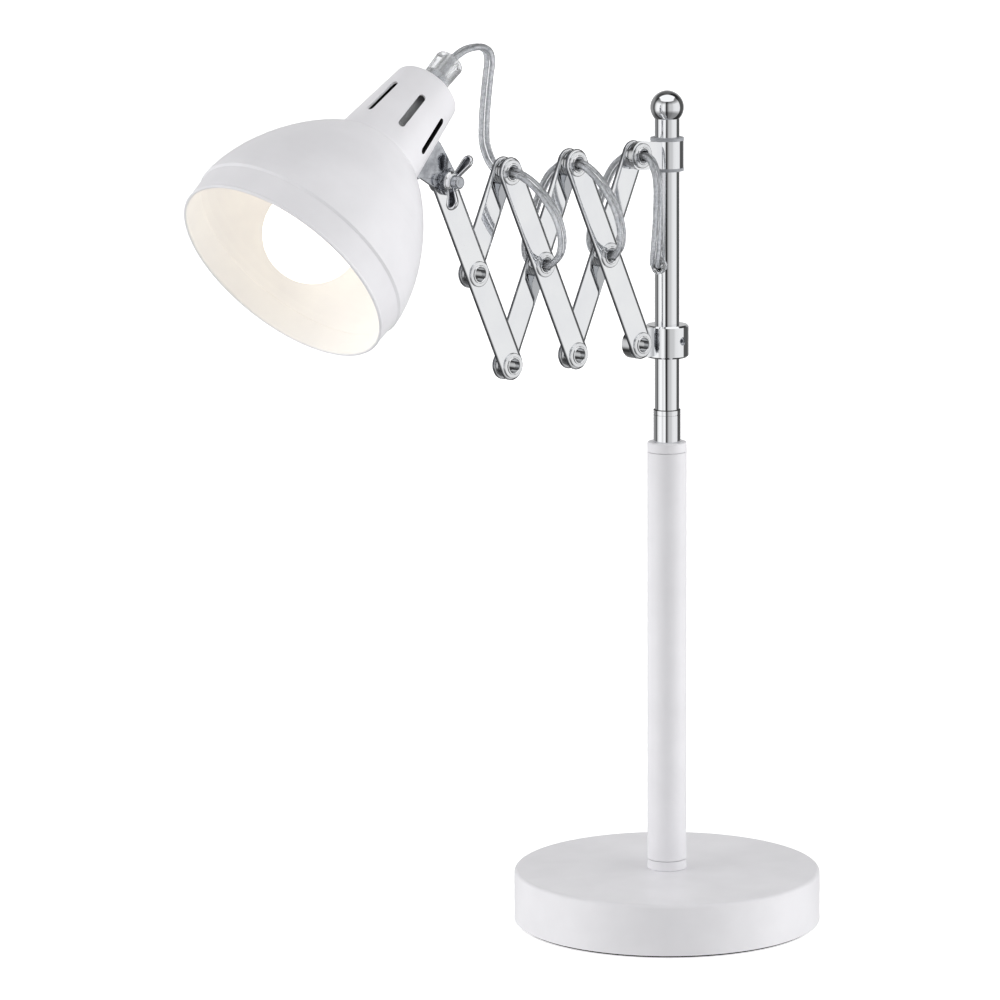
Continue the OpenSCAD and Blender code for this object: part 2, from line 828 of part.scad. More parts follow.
// Vent slot, drawn as a long hole with round ends
module slot() {
    half = (slot_l - slot_w) / 2;
    linear_extrude(neck_low_d / 2) {
        translate([-half, -slot_w / 2]) square([2 * half, slot_w]);
        for (e = [-half, half]) translate([e, 0]) circle(slot_w / 2);
    }
}

module shade() {
    hem = arc([rim_d / 2 - sheet_t / 2, rim_s - hem_r], hem_r, 215, -35, 10);
    color(WHITE) on_head() difference() {
        rotate_extrude($fn = 128)
            polygon(concat(hem, shade_side(0), reversed(shade_side(sheet_t))));
        for (a = slot_angles) rotate([0, 0, a])
            translate([holder_r / 2, 0, slot_s]) rotate([0, 90, 0]) slot();
        rivet_holes();
    }
}

// ---- Lampholder and bulb ----

module lampholder() {
    s0 = neck_s0 + sheet_t;
    edge = 1;
    wall = 5;
    color(BLACK) on_head() rotate_extrude()
        polygon([[nipple_hole_r, s0], [holder_r - edge, s0],
            [holder_r, s0 + edge], [holder_r, skirt_s0], [holder_in_r, skirt_s0],
            [holder_in_r, s0 + wall], [nipple_hole_r, s0 + wall]]);
}

// Screwed into the lampholder. Its sleeve guards the bulb's thread
module holder_skirt() {
    plug_s = skirt_s0 - skirt_plug_h;
    mouth_s = skirt_s1 - skirt_lip;
    shell_fit_r = shell_r + fit_gap;
    color(BLACK) on_head() rotate_extrude()
        polygon([[0, plug_s], [holder_in_r - 0.1, plug_s],
            [holder_in_r - 0.1, skirt_s0], [skirt_r - 0.6, skirt_s0],
            [skirt_r, skirt_s0 + 0.6], [skirt_r, skirt_s1 - 1],
            [skirt_r - 1, skirt_s1], [skirt_mouth_r, skirt_s1],
            [skirt_mouth_r - 0.6, mouth_s], [shell_fit_r, mouth_s],
            [shell_fit_r, seat_s], [0, seat_s]]);
}

module holder_shell() {
    color(BRASS) on_head() translate([0, 0, seat_s])
        ring(shell_r, shell_r - shell_t, skirt_s1 - skirt_lip - 1 - seat_s);
}

module holder_contact() {
    color(BRASS) on_head() translate([0, 0, seat_s])
        cylinder(r = contact_r, h = contact_t);
}

module holder_nipple() {
    color(STEEL) on_head() translate([0, 0, nipple_s0])
        ring(nipple_r, nipple_in_r, nipple_s1 - nipple_s0);
}

// Clear grip, screwed on the nipple, that widens to a rounded end
module cord_grip() {
    c = grip_end_r;
    color(CLEAR) on_head() rotate_extrude()
        polygon(concat(
            [[nipple_hole_r, neck_s0], [grip_r, neck_s0]],
            reversed(arc([grip_top_r - c, grip_s0 + c], c, -90, 0, 6)),
            [[grip_bore_r, grip_s0], [grip_bore_r, nipple_s0 - 1],
                [nipple_hole_r, nipple_s0 - 0.4]]));
}

// Ball of glass, or the ball inside it, down to the cap
function bulb_side(t) =
    let (r = bulb_r - t, a0 = bulb_neck_angle)
    concat([[cap_r + 1.6 - t, cap_s1], [cap_r + 3 - t, bulb_neck_s]],
        [for (i = [0:14])
            let (a = a0 + (180 - a0) * i / 14)
            [max(r * sin(a), 0), bulb_s - r * cos(a)]]);

module bulb_glass() {
    color(OPAL) on_head() rotate_extrude($fn = 96)
        polygon(concat(bulb_side(0), reversed(bulb_side(bulb_t))));
}

module bulb_cap() {
    tip_s = seat_s + contact_t;
    color(STEEL) on_head() rotate_extrude()
        polygon([[0, tip_s], [2.8, tip_s], [2.8, tip_s + 1.2], [4.4, tip_s + 1.5],
            [cap_r, tip_s + 4], [cap_r, cap_s1], [0, cap_s1]]);
}

// ---- Flat twin cord ----

// Place of a point that is u along the way a to b, and v out from the plane
function beside(a, b, u, v, side) =
    let (d = (b - a) / norm(b - a))
    [a[0] + d[0] * u, side * v, a[1] + d[1] * u];

// Route beside a bar, on into the eyelet at b. The bulge widens its bow
function bar_cord(a, b, route, side, bulge) =
    let (l = norm(b - a), v0 = route[1][1])
    concat(
        [for (p = route) beside(a, b, p[0], max(v0, p[1]) * bulge
            - v0 * bulge + min(v0, p[1]), side)],
        [beside(a, b, l, eyelet_run, side), beside(a, b, l, 0, side)]);

// Unit vector across a way in the arm's plane
function across(a, b) =
    let (d = (b - a) / norm(b - a)) [-d[1], 0, d[0]];

function unit(v) = v / norm(v);

function tangents(p) =
    [for (i = [0:len(p) - 1])
        unit(p[min(i + 1, len(p) - 1)] - p[max(i - 1, 0)])];

// The wide side's way at ring i, from the ways at the start, middle and end
function wide_way(w, i, n) =
    let (k = 2 * i / n, j = k < 1 ? 0 : 1, f = k - j)
    w[j] * (1 - f) + w[j + 1] * f;

module flat_cord(p, w) {
    sides = 10;
    n = len(p);
    t = tangents(p);
    points = [for (i = [0:n - 1])
        let (w0 = wide_way(w, i, n - 1),
            x = unit(w0 - t[i] * (w0 * t[i])), y = cross(t[i], x))
        for (k = [0:sides - 1])
            p[i] + x * cord_w / 2 * cos(360 * k / sides)
                + y * cord_t / 2 * sin(360 * k / sides)];
    faces = concat(
        [[for (k = [0:sides - 1]) k]],
        [for (i = [0:n - 2]) for (k = [0:sides - 1]) for (half = [0, 1])
            let (a = i * sides + k, b = i * sides + (k + 1) % sides)
            half == 0 ? [a, a + sides, b + sides] : [a, b + sides, b]],
        [[for (k = [sides - 1:-1:0]) (n - 1) * sides + k]]);
    color(CLEAR) polyhedron(points, faces, convexity = 6);
}

module bar_flex(a, b, route, side, bulge) {
    w = across(a, b);
    flat_cord(bar_cord(a, b, route, side, bulge), [w, w, w]);
}

module flex_loop_outer() {
    bar_flex(top_pivot(2), mid_pivot(2), loop_route, -1, loop_bulge);
}
module flex_loop_inner() {
    bar_flex(top_pivot(1), mid_pivot(1), loop_route, -1, 1);
}
module flex_back_outer() {
    bar_flex(mid_pivot(2), top_pivot(1), back_route, 1, 1);
}
module flex_back_inner() {
    bar_flex(mid_pivot(1), top_pivot(0), back_route, 1, 1);
}

module flex_head() {
    axis = [cos(shade_tilt), 0, sin(shade_tilt)];
    normal = [-sin(shade_tilt), 0, cos(shade_tilt)];
    foot = [head_pivot[0], head_y, head_pivot[1]] + normal * neck_off;
    p = top_pivot(2);
    end = [p[0], 0, p[1]];
    flat_cord(concat(
            [foot - axis * (nipple_s0 - 2), foot - axis * grip_s0],
            [for (q = head_route) end + q],
            [end + [0, eyelet_run, 0], end]),
        [[0.4, 0.9, 0], [-0.75, 0.65, 0], [-1, 0, 0]]);
}

module flex_post() {
    p = top_pivot(0);
    start = [p[0], 0, p[1]];
    flat_cord(concat([start], [for (q = post_route) start + q],
            [[-rod_entry, 0, cord_hole_z]]),
        [[1, 0, 0], [1, 0, 0], [0, -1, 0]]);
}

module flex_rod() {
    flat_cord(concat([[cord_gap - rod_entry, 0, cord_hole_z]],
            [for (q = rod_route) [q[0], q[1], cord_hole_z + q[2]]],
            [[0, 0, flex_joint_z]]),
        [[0, -1, 0], [0, -1, 0], [0, -1, 0]]);
}

module flex_base() {
    flat_cord(concat([[0, 0, flex_joint_z]], base_route,
            [[gland_x0 - 1.5, 0, gland_z]]),
        [[0, -1, 0], [0, -1, 0], [0, -1, 0]]);
}

// ---- Assembly ----

base_cover();
base_weight();
base_plate();
base_pad();
base_washer();
base_nut();
base_stud();
cable_gland();
foot_ring();
tube_plug();
post_tube();
post_cap();
swivel_sleeve();
rod_seat();
flex_base();
rod();
finial_ball();
lower_collar();
grub_screw();
cord_grommet();
flex_rod();
upper_collar();
collar_bushes();
bar_front_inner();
eyelets_inner();
spacers_inner();
flex_loop_inner();
bar_back_inner();
eyelet_collar();
spacer_collar();
flex_back_inner();
flex_post();
bar_front_middle();
eyelets_middle();
spacers_middle();
flex_loop_outer();
bar_back_middle();
flex_back_outer();
bar_back_outer();
bar_front_outer();
eyelets_outer();
spacers_outer();
pivot_bolt();
head_bracket();
bracket_rivets();
star_washer();
spring_washer();
wing_nut();
shade();
lampholder();
holder_skirt();
holder_shell();
holder_contact();
holder_nipple();
cord_grip();
bulb_glass();
bulb_cap();
flex_head();
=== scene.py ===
# Accordion desk lamp: looks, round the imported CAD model. Lengths are in metres
# in the row frame, and names that end in _mm are in millimetres.
import math

import bmesh
import bpy
from mathutils import Matrix, Vector


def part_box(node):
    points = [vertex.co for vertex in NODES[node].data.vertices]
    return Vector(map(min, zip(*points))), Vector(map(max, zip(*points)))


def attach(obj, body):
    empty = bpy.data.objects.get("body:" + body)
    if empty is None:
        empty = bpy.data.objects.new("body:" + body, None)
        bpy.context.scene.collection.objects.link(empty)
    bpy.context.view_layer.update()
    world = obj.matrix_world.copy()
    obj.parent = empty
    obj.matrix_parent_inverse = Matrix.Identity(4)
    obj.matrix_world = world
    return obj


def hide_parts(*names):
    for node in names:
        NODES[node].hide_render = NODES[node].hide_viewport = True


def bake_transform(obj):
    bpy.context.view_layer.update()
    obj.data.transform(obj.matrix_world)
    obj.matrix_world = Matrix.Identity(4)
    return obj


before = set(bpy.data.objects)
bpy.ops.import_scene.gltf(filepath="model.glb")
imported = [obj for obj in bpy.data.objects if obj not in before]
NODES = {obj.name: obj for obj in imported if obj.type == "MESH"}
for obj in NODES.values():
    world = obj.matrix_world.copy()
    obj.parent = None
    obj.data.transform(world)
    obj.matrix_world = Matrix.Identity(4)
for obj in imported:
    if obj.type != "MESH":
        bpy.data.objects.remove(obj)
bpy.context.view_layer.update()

scene = bpy.context.scene

# ---------------------------------------------------------------- camera ----
# Fitted to the arm's pivots, the shade's mouth and the base's outline
CAMERA_AT = (-1.9475, -1.8329, 0.6975)
CAMERA_LENS = 201.6
CAMERA_YAW = math.radians(-45.0)
CAMERA_PITCH = math.radians(10.34)
CAMERA_ROLL = math.radians(-0.30)
CAMERA_CLIP = (0.05, 50)


def make_camera():
    right = Vector((math.cos(CAMERA_YAW), math.sin(CAMERA_YAW), 0))
    level = Vector((-math.sin(CAMERA_YAW), math.cos(CAMERA_YAW), 0))
    ahead = level * math.cos(CAMERA_PITCH) - Vector((0, 0, math.sin(CAMERA_PITCH)))
    up = level * math.sin(CAMERA_PITCH) + Vector((0, 0, math.cos(CAMERA_PITCH)))
    c, s = math.cos(CAMERA_ROLL), math.sin(CAMERA_ROLL)
    x, y = right * c + up * s, up * c - right * s
    turn = Matrix((x, y, -ahead)).transposed().to_4x4()
    data = bpy.data.cameras.new("camera")
    data.lens = CAMERA_LENS
    data.sensor_width = 36
    data.clip_start, data.clip_end = CAMERA_CLIP
    cam = bpy.data.objects.new("camera", data)
    scene.collection.objects.link(cam)
    cam.matrix_world = Matrix.Translation(CAMERA_AT) @ turn
    scene.camera = cam


# ------------------------------------------------------------- materials ----
def srgb(*c):
    return tuple(v / 12.92 if v <= 0.04045 else ((v + 0.055) / 1.055) ** 2.4 for v in c)


# Noise: its roughness, the span that its values fill, where a surface turns from
# its dark colour to its light one, and the scale of its spots of other roughness
NOISE_ROUGHNESS, NOISE_SPAN = 0.55, (0.3, 0.7)
DARK_AT, LIGHT_AT = 0.35, 0.65
ROUGH_SPOTS = 60


class Nodes:
    """A short way to write a material's or world's node tree."""

    def __init__(self, tree):
        self.tree = tree

    def add(self, kind, **values):
        node = self.tree.nodes.new("ShaderNode" + kind)
        for key, value in values.items():
            setattr(node, key, value)
        return node

    def put(self, node, socket, value):
        s = node.inputs[socket]
        if isinstance(value, bpy.types.NodeSocket):
            self.tree.links.new(value, s)
        elif s.type == "RGBA" and len(value) == 3:
            s.default_value = (*value, 1)
        else:
            s.default_value = value

    def ramp(self, fac, stops):
        """Colours or grey levels along a line, as (place, colour)."""
        node = self.add("ValToRGB")
        elements = node.color_ramp.elements
        while len(elements) < len(stops):
            elements.new(0.5)
        for element, (place, colour) in zip(elements, stops):
            element.position = place
        for element, (place, colour) in zip(elements, stops):
            if not hasattr(colour, "__len__"):
                colour = (colour, colour, colour)
            element.color = (*colour, 1)
        self.put(node, "Fac", fac)
        return node.outputs["Color"]

    def noise(self, at, scale, detail, stretch=(1, 1, 1)):
        place = self.add("Mapping")
        self.put(place, "Vector", at)
        self.put(place, "Scale", stretch)
        node = self.add("TexNoise")
        self.put(node, "Vector", place.outputs["Vector"])
        self.put(node, "Scale", scale)
        self.put(node, "Detail", detail)
        self.put(node, "Roughness", NOISE_ROUGHNESS)
        return node.outputs["Fac"]

    def range(self, value, low, high, span=NOISE_SPAN):
        """What runs from low to high while value crosses the span."""
        node = self.add("MapRange")
        self.put(node, "Value", value)
        self.put(node, "From Min", span[0])
        self.put(node, "From Max", span[1])
        self.put(node, "To Min", low)
        self.put(node, "To Max", high)
        return node.outputs["Result"]


def new_material(name):
    m = bpy.data.materials.new(name)
    m.use_nodes = True
    shader = m.node_tree.nodes["Principled BSDF"]
    n = Nodes(m.node_tree)
    at = n.add("TexCoord").outputs["Object"]
    return m, shader, n, at


def surface(name, dark, light, rough, spots=120, bump=None, stretch=(1, 1, 1),
            **fixed):
    """A material whose colour runs from dark to light and whose roughness
    varies, with an even bump of (scale, height in metres)."""
    m, shader, n, at = new_material(name)
    n.put(shader, "Base Color", n.ramp(n.noise(at, spots, 4, stretch),
                                       [(DARK_AT, dark), (LIGHT_AT, light)]))
    n.put(shader, "Roughness",
          n.range(n.noise(at, ROUGH_SPOTS, 3, stretch), *rough))
    if bump:
        node = n.add("Bump")
        n.put(node, "Height", n.noise(at, bump[0], 4, stretch))
        n.put(node, "Strength", 1.0)
        n.put(node, "Distance", bump[1])
        n.put(shader, "Normal", node.outputs["Normal"])
    for key, value in fixed.items():
        n.put(shader, key.replace("_", " "), value)
    return m


MATERIALS = {}


def make_materials():
    M = MATERIALS
    M["white"] = surface(
        "white_paint", srgb(0.925, 0.922, 0.935), srgb(0.945, 0.942, 0.955),
        (0.28, 0.36), spots=40, bump=(1600, 0.00001))
    M["inside"] = surface(
        "white_paint_inside", srgb(0.93, 0.93, 0.93), srgb(0.95, 0.95, 0.945),
        (0.45, 0.55), spots=40, bump=(1600, 0.00002))
    M["chrome"] = surface(
        "chrome", srgb(0.93, 0.935, 0.945), srgb(0.95, 0.955, 0.96),
        (0.03, 0.08), spots=60, bump=(40, 0.000015), Metallic=1.0)
    M["chrome_tube"] = surface(
        "chrome_tube", srgb(0.93, 0.935, 0.945), srgb(0.95, 0.955, 0.96),
        (0.02, 0.06), spots=60, stretch=(1, 1, 0.05), bump=(60, 0.00001),
        Metallic=1.0)
    # The bars' edges: rough sheared steel, and darker than that as a painted dark
    # reflection
    M["edge"] = surface(
        "sheared_edge_painted_reflection", srgb(0.42, 0.43, 0.45), srgb(0.6, 0.61, 0.63),
        (0.25, 0.45), spots=300, bump=(900, 0.00003), Metallic=1.0)
    M["nickel"] = surface(
        "nickel", srgb(0.88, 0.885, 0.895), srgb(0.93, 0.935, 0.94),
        (0.04, 0.1), spots=150, bump=(300, 0.00001), Metallic=1.0)
    M["zinc"] = surface(
        "zinc_plate", srgb(0.72, 0.73, 0.75), srgb(0.8, 0.81, 0.83),
        (0.18, 0.32), spots=200, bump=(500, 0.00002), Metallic=1.0)
    M["dark_zinc"] = surface(
        "dark_chrome", srgb(0.6, 0.61, 0.63), srgb(0.76, 0.77, 0.79),
        (0.05, 0.12), spots=200, bump=(200, 0.00004), Metallic=1.0)
    M["cast"] = surface(
        "cast_iron", srgb(0.2, 0.2, 0.21), srgb(0.3, 0.3, 0.31),
        (0.6, 0.8), bump=(400, 0.0003), Metallic=0.6)
    # The wing nut's dished faces: chrome made darker as a painted dark reflection
    M["dish"] = surface(
        "chrome_painted_dark_reflection", srgb(0.3, 0.31, 0.33), srgb(0.58, 0.59, 0.61),
        (0.08, 0.2), spots=260, bump=(420, 0.0001), Metallic=1.0)
    M["pad"] = surface(
        "foam_pad", srgb(0.02, 0.02, 0.02), srgb(0.05, 0.05, 0.05),
        (0.8, 0.95), spots=800, bump=(900, 0.0002))
    M["grey"] = surface(
        "grey_bush", srgb(0.6, 0.61, 0.63), srgb(0.67, 0.68, 0.7),
        (0.35, 0.5), spots=300, bump=(800, 0.00003))
    M["moulding"] = surface(
        "moulding", srgb(0.78, 0.79, 0.8), srgb(0.84, 0.85, 0.86),
        (0.3, 0.45), spots=300, bump=(700, 0.00003))
    # Near-black painted shade: on the sleeve's rim, inside the lamp shade's neck and on
    # one slot's walls
    M["bare"] = surface(
        "bare_sheet", srgb(0.05, 0.05, 0.05), srgb(0.1, 0.1, 0.1),
        (0.5, 0.7), spots=200, bump=(500, 0.00003))
    M["brass"] = surface(
        "brass", srgb(0.78, 0.62, 0.34), srgb(0.87, 0.72, 0.42),
        (0.2, 0.35), spots=200, Metallic=1.0)
    M["core"] = surface(
        "tinned_strands", srgb(0.74, 0.75, 0.77), srgb(0.9, 0.905, 0.915),
        (0.3, 0.42), spots=700, bump=(1500, 0.00003), Metallic=0.85)
    M["sheath"] = surface(
        "clear_sheath", srgb(0.97, 0.975, 0.98), srgb(0.99, 0.992, 0.995),
        (0.04, 0.1), spots=150, bump=(150, 0.00006), IOR=1.42,
        Transmission_Weight=0.9)
    M["clear"] = surface(
        "clear_moulding", srgb(0.96, 0.965, 0.97), srgb(0.98, 0.985, 0.99),
        (0.12, 0.28), spots=150, bump=(220, 0.00012), IOR=1.45,
        Transmission_Weight=0.8)
    M["bulb"] = surface(
        "opal_glass", srgb(0.98, 0.97, 0.95), srgb(1, 0.99, 0.97),
        (0.2, 0.3), spots=60, Emission_Color=(1.0, 0.89, 0.77, 1),
        Emission_Strength=1.5)


DRESS = {
    "white": ["base_cover", "foot_ring", "post_tube", "post_cap", "cable_gland",
              "shade"],
    "cast": ["base_weight"],
    "zinc": ["base_plate", "base_washer", "base_nut", "base_stud", "tube_plug",
             "holder_nipple", "bracket_rivets", "bulb_cap", "spring_washer",
             "grub_screw"],
    "dark_zinc": ["head_bracket", "star_washer"],
    "pad": ["base_pad"],
    "chrome_tube": ["swivel_sleeve", "rod", "finial_ball", "lower_collar",
                    "upper_collar"],
    "nickel": ["eyelets_inner", "eyelet_collar", "eyelets_middle",
               "eyelets_outer", "spacers_inner", "spacer_collar",
               "spacers_middle", "spacers_outer"],
    "grey": ["collar_bushes", "rod_seat"],
    "clear": ["cord_grommet", "cord_grip"],
    "moulding": ["lampholder", "holder_skirt"],
    "brass": ["holder_shell", "holder_contact"],
    "bulb": ["bulb_glass"],
}


# Width of the rounded edges that some CAD pieces get
SOFTENED = {"head_bracket": 0.00025, "star_washer": 0.00015, "foot_ring": 0.0003,
            "post_tube": 0.0003, "post_cap": 0.0003}
SHARP_ANGLE = math.radians(28)
# How far below the sleeve's top the up-facing faces get painted shade
SLEEVE_RIM = 0.004


def dress_nodes():
    for name, nodes in DRESS.items():
        for node in nodes:
            mesh = NODES[node].data
            mesh.materials.clear()
            mesh.materials.append(MATERIALS[name])
            mesh.shade_smooth()
            mesh.set_sharp_from_angle(angle=SHARP_ANGLE)
    for node, width in SOFTENED.items():
        soften(NODES[node], width)
    paint_sleeve_rim_shade()
    paint_shade()


def paint_sleeve_rim_shade():
    """Painted shade and painted dark reflection: near-black on the faces that look up at
    the sleeve's rim, where the rod stands in it.
    """
    mesh = NODES["swivel_sleeve"].data
    mesh.materials.append(MATERIALS["bare"])
    top = max(v.co.z for v in mesh.vertices)
    for face in mesh.polygons:
        if face.normal.z > 0.5 and face.center.z > top - SLEEVE_RIM:
            face.material_index = 1


# Along the shade's axis from the foot of the pivot's normal: where the neck
# begins, and how far the slots reach either way
NECK_FROM, SLOT_REACH = -0.012, 0.013


def paint_shade():
    """Paint on the inside of the bell, and near-black painted shade inside the neck
    and on the walls of the slot on the wing nut's side."""
    mesh = NODES["shade"].data
    mesh.materials.append(MATERIALS["inside"])
    mesh.materials.append(MATERIALS["bare"])
    foot, axis = head_foot()
    for face in mesh.polygons:
        out = face.center - foot
        along = out.dot(axis)
        out -= axis * along
        out.normalize()
        lean = face.normal.dot(out)
        # Faces that look in get the bell's paint, or painted shade inside the neck; the
        # slot's walls on the wing nut's side get painted shade
        if lean < -0.25:
            face.material_index = 1 if along < NECK_FROM else 2
        elif lean < 0.25 and abs(along) < SLOT_REACH and out.y < -0.9:
            face.material_index = 2


WELD_GAP, BEVEL_ANGLE = 0.000002, math.radians(40)


def soften(obj, width):
    """Round a piece's edges over, inside its own size."""
    mesh = obj.data
    with bpy.context.temp_override(object=obj, active_object=obj):
        bpy.ops.mesh.customdata_custom_splitnormals_clear()
    mesh.attributes.remove(mesh.attributes["sharp_edge"])
    weld = obj.modifiers.new("weld", "WELD")
    weld.merge_threshold = WELD_GAP
    bevel = obj.modifiers.new("edges", "BEVEL")
    bevel.width = width
    bevel.segments = 2
    bevel.limit_method = "ANGLE"
    bevel.angle_limit = BEVEL_ANGLE
    bevel.use_clamp_overlap = False
    bevel.material = 0
    even = obj.modifiers.new("even", "WEIGHTED_NORMAL")
    even.weight = 100


# ----------------------------------------------------------------- cords ----
# Sizes and routes as in the part's source
SHADE_TILT = math.radians(39)
PIVOT_X_MM, ARM_Z_MM, BAR_MM, BAR_ANGLE = 21, 288.3, 101.2, math.radians(25.8)
STEP_MM = BAR_MM * math.sin(BAR_ANGLE)
ARM_MM = BAR_MM * math.cos(BAR_ANGLE)
NECK_OFF_MM, HEAD_Y_MM = 35.9, 2
CORD_HOLE_MM, ROD_ENTRY_MM, EYELET_RUN_MM = 324.8, 3, 5.5
CORD_JOINT_MM, GLAND_MM = 190, (68, 0, 8)
GRIP_FROM_MM, GRIP_END_MM = 33, 42
CORD_W, CORD_T = 0.0052, 0.0034
LOOP_ROUTE = [(0, 0), (0, 6), (3.2, 11), (8.2, 14.6), (14, 16.8), (20.5, 18.4),
              (27, 18.6), (33.5, 17.6), (39.5, 15.6), (44.8, 12.6), (49, 8.4)]
BACK_ROUTE = [(0, 0), (0, 5.5), (2.5, 10), (8, 13), (17, 14.5), (27, 14.5),
              (37, 14), (44, 12), (48.5, 8)]
HEAD_ROUTE = [(-28.2, 2, 57.4), (-24.5, 2.3, 58.6), (-19.5, 2.6, 59.3),
              (-14, 3, 59.2), (-10, 3.7, 57.9), (-7, 4.5, 55.6),
              (-5, 5.8, 51), (-4.1, 8, 43.5), (-3, 11, 30), (-1.8, 13, 18.5),
              (-0.9, 13.4, 12), (-0.3, 10.8, 5)]
POST_ROUTE = [(0, -6, 0), (0, -10, -2.4), (0.1, -12.7, -8.4),
              (0.6, -13.2, -15.9), (1.6, -12, -25.4), (3.4, -10, -35.4),
              (6, -7, -44.4), (9, -3.6, -50.4), (12, -0.6, -54),
              (14, 0, -54.6)]
ROD_ROUTE = [(-2, 0, 0), (-0.9, 0, -0.4), (-0.2, 0, -1.8), (0, 0, -4.3),
             (0, 0, -70)]
BASE_ROUTE = [(0, 0, 100), (0, 0, 12), (1.4, 0, 8), (4.5, 0, 5.2),
              (9, 0, 4.4), (30, 0, 4.4), (58, 0, 4.8), (64, 0, 6.4)]
LOOP_BULGE = 1.35
# How a cord is meshed: the step along its path, the sides of its sheath and cores,
# and the angle from which an edge isn't shaded smooth
CORD_STEP, SHEATH_SIDES, CORE_SIDES = 0.0011, 36, 28
CORD_SHARP = math.radians(60)


def top_pivot(i):
    return Vector((-PIVOT_X_MM - i * STEP_MM, 0, ARM_Z_MM + ARM_MM)) / 1000


def low_pivot(i):
    return Vector((-PIVOT_X_MM - i * STEP_MM, 0, ARM_Z_MM)) / 1000


def mid_pivot(i):
    return Vector((-PIVOT_X_MM - (i - 0.5) * STEP_MM, 0, ARM_Z_MM + ARM_MM / 2)) / 1000


def head_foot():
    """Foot of the pivot's normal on the shade's axis, and that axis."""
    axis = Vector((math.cos(SHADE_TILT), 0, math.sin(SHADE_TILT)))
    normal = Vector((-math.sin(SHADE_TILT), 0, math.cos(SHADE_TILT)))
    h = top_pivot(3)
    return Vector((h.x, HEAD_Y_MM / 1000, h.z)) + normal * NECK_OFF_MM / 1000, axis


def bar_cord(a, b, route, side, bulge):
    """Route beside a bar, on into the eyelet at b. The bulge widens its bow."""
    d = (b - a).normalized()
    v0 = route[1][1]
    points = [a + d * u / 1000 + Vector((0, side, 0)) *
              ((max(v0, v) - v0) * bulge + min(v0, v)) / 1000 for u, v in route]
    out = Vector((0, side * EYELET_RUN_MM / 1000, 0))
    return points + [b + out, b.copy()]


def away(start, route):
    """A route's points, counted from its start."""
    return [start + Vector(p) / 1000 for p in route]


def smooth_path(points):
    """Catmull-Rom curve through the points."""
    p = [points[0] * 2 - points[1]] + points + [points[-1] * 2 - points[-2]]
    out = []
    for i in range(1, len(p) - 2):
        a, b, c, d = p[i - 1:i + 3]
        n = max(2, round((c - b).length / CORD_STEP))
        for k in range(n):
            t = k / n
            out.append(0.5 * ((2 * b) + (c - a) * t + (2 * a - 5 * b + 4 * c - d) * t * t
                              + (3 * b - a - 3 * c + d) * t ** 3))
    return out + [points[-1]]


def ways(path, wide):
    """Tangent, wide way and thin way at each point of a path. wide holds the
    wide side's way at the start, middle and end."""
    wide = [Vector(w) for w in wide]
    out, n = [], len(path) - 1
    for i in range(n + 1):
        t = (path[min(i + 1, n)] - path[max(i - 1, 0)]).normalized()
        k = 2 * i / n
        j = 0 if k < 1 else 1
        w = wide[j].lerp(wide[j + 1], k - j)
        x = (w - t * w.dot(t)).normalized()
        out.append((t, x, t.cross(x)))
    return out


def sweep(name, path, frames, ring, material, ends):
    """Mesh along a path. ring(i) gives the section's points as (wide, thin), and
    ends says whether the start and the end are closed."""
    bm = bmesh.new()
    rows = []
    for i, (p, (t, x, y)) in enumerate(zip(path, frames)):
        rows.append([bm.verts.new(p + x * u + y * v) for u, v in ring(i)])
    n = len(rows[0])
    for a, b in zip(rows, rows[1:]):
        for k in range(n):
            bm.faces.new((a[k], a[(k + 1) % n], b[(k + 1) % n], b[k]))
    if ends[0]:
        bm.faces.new(rows[0][::-1])
    if ends[1]:
        bm.faces.new(rows[-1])
    bmesh.ops.recalc_face_normals(bm, faces=bm.faces)
    mesh = bpy.data.meshes.new(name)
    bm.to_mesh(mesh)
    bm.free()
    mesh.shade_smooth()
    mesh.set_sharp_from_angle(angle=CORD_SHARP)
    mesh.materials.append(MATERIALS[material])
    obj = bpy.data.objects.new(name, mesh)
    scene.collection.objects.link(obj)
    return obj


# The sheath's two round lobes: how deep and how wide the groove between them is,
# how much its thin side sinks at the edges, and how full its shoulders are
GROOVE, GROOVE_WIDTH, EDGE_FALL, SHOULDER = 0.13, 0.26, 0.1, 0.06
# A core: its strands, how deep the valleys between them are, the length of one
# turn, its radius, and its distance from the cord's middle
STRANDS, VALLEY, LAY_LENGTH = 7, 0.16, 0.009
CORE_R, CORE_OFF = 0.00086, 0.00107


def sheath_ring():
    """Section of the flat twin cord."""
    out = []
    for k in range(SHEATH_SIDES):
        a = 2 * math.pi * k / SHEATH_SIDES
        c, s = math.cos(a), math.sin(a)
        groove = 1 - GROOVE * math.exp(-(c / GROOVE_WIDTH) ** 2)
        out.append((CORD_W / 2 * c, CORD_T / 2 * groove * s * (1 - EDGE_FALL * c * c)
                    * (1 + SHOULDER * math.sin(2 * a) ** 2)))
    return out


def core_ring(side, path):
    """Section of one core, whose strands twist along the way."""
    run, at = [0.0], 0.0
    for a, b in zip(path, path[1:]):
        at += (b - a).length
        run.append(at)

    def ring(i):
        twist = 2 * math.pi * run[i] / LAY_LENGTH * side
        out = []
        for k in range(CORE_SIDES):
            a = 2 * math.pi * k / CORE_SIDES
            r = CORE_R * (1 - VALLEY
                          + VALLEY * abs(math.cos(STRANDS * (a - twist) / 2)))
            out.append((side * CORE_OFF + r * math.cos(a), r * math.sin(a)))
        return out
    return ring


